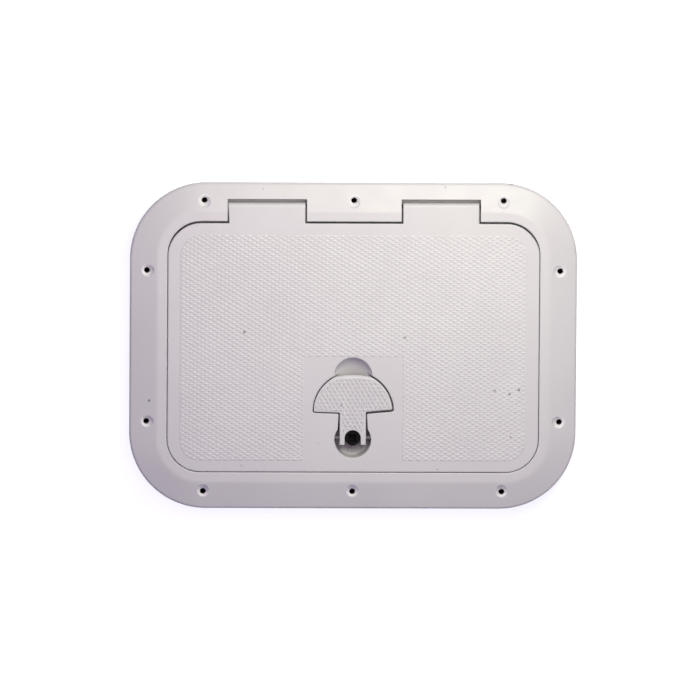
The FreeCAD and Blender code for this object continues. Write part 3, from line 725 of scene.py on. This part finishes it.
def seen_directly(tree):
    """A socket that is 1 for rays from the camera and for reflected or refracted ones."""
    path = tree.nodes.new("ShaderNodeLightPath")
    seen = path.outputs["Is Camera Ray"]
    for kind in ("Is Glossy Ray", "Is Transmission Ray"):
        seen = number_step(tree, "MAXIMUM", seen, path.outputs[kind])
    return seen


def make_world():
    """A white backdrop that lights the part with a faint blue."""
    world = bpy.data.worlds.new("studio")
    bpy.context.scene.world = world
    world.use_nodes = True
    tree = world.node_tree
    ambient = tree.nodes["Background"]
    ambient.inputs["Color"].default_value = (*WORLD_COLOUR, 1)
    ambient.inputs["Strength"].default_value = WORLD_STRENGTH
    backdrop = tree.nodes.new("ShaderNodeBackground")
    backdrop.inputs["Color"].default_value = (1, 1, 1, 1)
    backdrop.inputs["Strength"].default_value = 1.0
    mix = tree.nodes.new("ShaderNodeMixShader")
    tree.links.new(seen_directly(tree), mix.inputs["Fac"])
    tree.links.new(ambient.outputs["Background"], mix.inputs[1])
    tree.links.new(backdrop.outputs["Background"], mix.inputs[2])
    tree.links.new(mix.outputs["Shader"], tree.nodes["World Output"].inputs["Surface"])


def uncovered(tree, place):
    """A socket that is 1 on the open floor and 0 under the part, by distance from its outline."""
    half_x = cad_box[1][0] - FLOOR_CORNER
    half_y = cad_box[1][1] - FLOOR_CORNER
    quarter = vector_step(tree, "ABSOLUTE", place)
    past = vector_step(tree, "SUBTRACT", quarter, (half_x, half_y, 1))
    distance = vector_step(tree, "LENGTH", vector_step(tree, "MAXIMUM", past, (0, 0, 0)))
    return ramp(tree, distance, 0.0, 1.0, FLOOR_CORNER - COVER_END, FLOOR_CORNER - COVER_START)


def make_floor():
    """A white floor under the collar that still takes the object's shadow, with painted shade under the
    part.
    """
    bpy.ops.mesh.primitive_plane_add(size=FLOOR_SIZE, location=(0, 0, cad_box[0][2]))
    floor = bpy.context.active_object
    floor.name = "floor"
    material, tree, shader, place = new_material("floor")
    shader.inputs["Roughness"].default_value = FLOOR_ROUGHNESS
    shader.inputs["Specular IOR Level"].default_value = 0.0
    open_floor = uncovered(tree, place)
    # Painted shade: the floor is dark under the part, so the holes look black
    tree.links.new(blend(tree, open_floor, FLOOR_PAINTED_SHADE, FLOOR_PALE), shader.inputs["Base Color"])
    glow = tree.nodes.new("ShaderNodeEmission")
    glow.inputs["Color"].default_value = (1, 1, 1, 1)
    seen = ramp(tree, seen_directly(tree), 0.0, FLOOR_GLOW, 0.0, 1.0)
    tree.links.new(number_step(tree, "MULTIPLY", seen, open_floor), glow.inputs["Strength"])
    both = tree.nodes.new("ShaderNodeAddShader")
    tree.links.new(shader.outputs["BSDF"], both.inputs[0])
    tree.links.new(glow.outputs["Emission"], both.inputs[1])
    tree.links.new(both.outputs["Shader"], tree.nodes["Material Output"].inputs["Surface"])
    floor.data.materials.append(material)


def main():
    materials = {"white_plastic": white_plastic("white_plastic", EDGE_ROUND),
                 "black_plastic": dark_plastic("black_plastic", BLACK, BLACK_SPECULAR),
                 "rubber": rubber(), "stainless": stainless()}
    dress_nodes(materials)
    lid_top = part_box("lid")[1][2]
    handle_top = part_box("handle")[1][2]
    lid_tread = tread("lid_tread", lid_field_polygon(), lid_top, TREAD_HEIGHT, False)
    handle_tread = tread("handle_tread", handle_field_polygon(), handle_top, HANDLE_TREAD_HEIGHT, True)
    tread_plastic = white_plastic("tread_plastic", 0.0)
    for field in (lid_tread, handle_tread):
        field.data.materials.append(tread_plastic)
    for piece, body in ((lid_tread, LID_BODY), (handle_tread, HANDLE_BODY),
                        (seated_lid(), LID_BODY), (skewed_handle(), HANDLE_BODY)):
        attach(piece, body)
    make_camera()
    make_light("key", KEY_PLACE, KEY_POWER, KEY_COLOUR)
    make_light("fill", FILL_PLACE, FILL_POWER, FILL_COLOUR)
    make_world()
    make_floor()
    bpy.context.scene.view_settings.view_transform = "Standard"


main()
